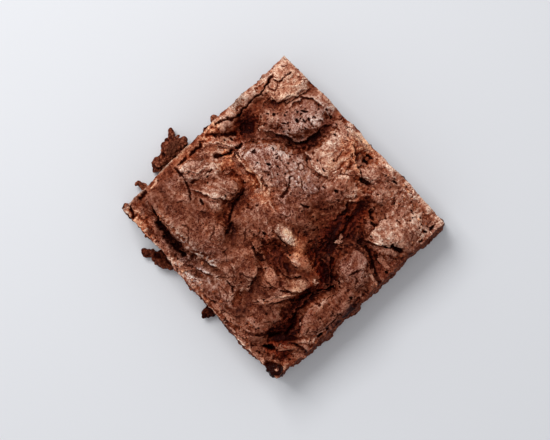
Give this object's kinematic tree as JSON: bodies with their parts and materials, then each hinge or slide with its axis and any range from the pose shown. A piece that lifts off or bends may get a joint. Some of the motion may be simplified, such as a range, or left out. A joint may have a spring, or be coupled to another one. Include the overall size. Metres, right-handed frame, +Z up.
{
  "type": "chocolate brownie",
  "caption": "Square chocolate brownie cut from a tray bake, with a wrinkled crust, rough cut sides and a flat underside to rest on.",
  "frame": {"origin": "middle of the flat underside", "axes": "+Z up out of the crust, +X and +Y roughly along the cut sides"},
  "size_m": [0.1121, 0.1009, 0.029],
  "materials": {
    "baked_chocolate": "matte baked crust and crumb, with a faint sheen on the crust"
  },
  "bodies": {
    "root": {"brownie": "baked_chocolate"}
  },
  "joints": []
}
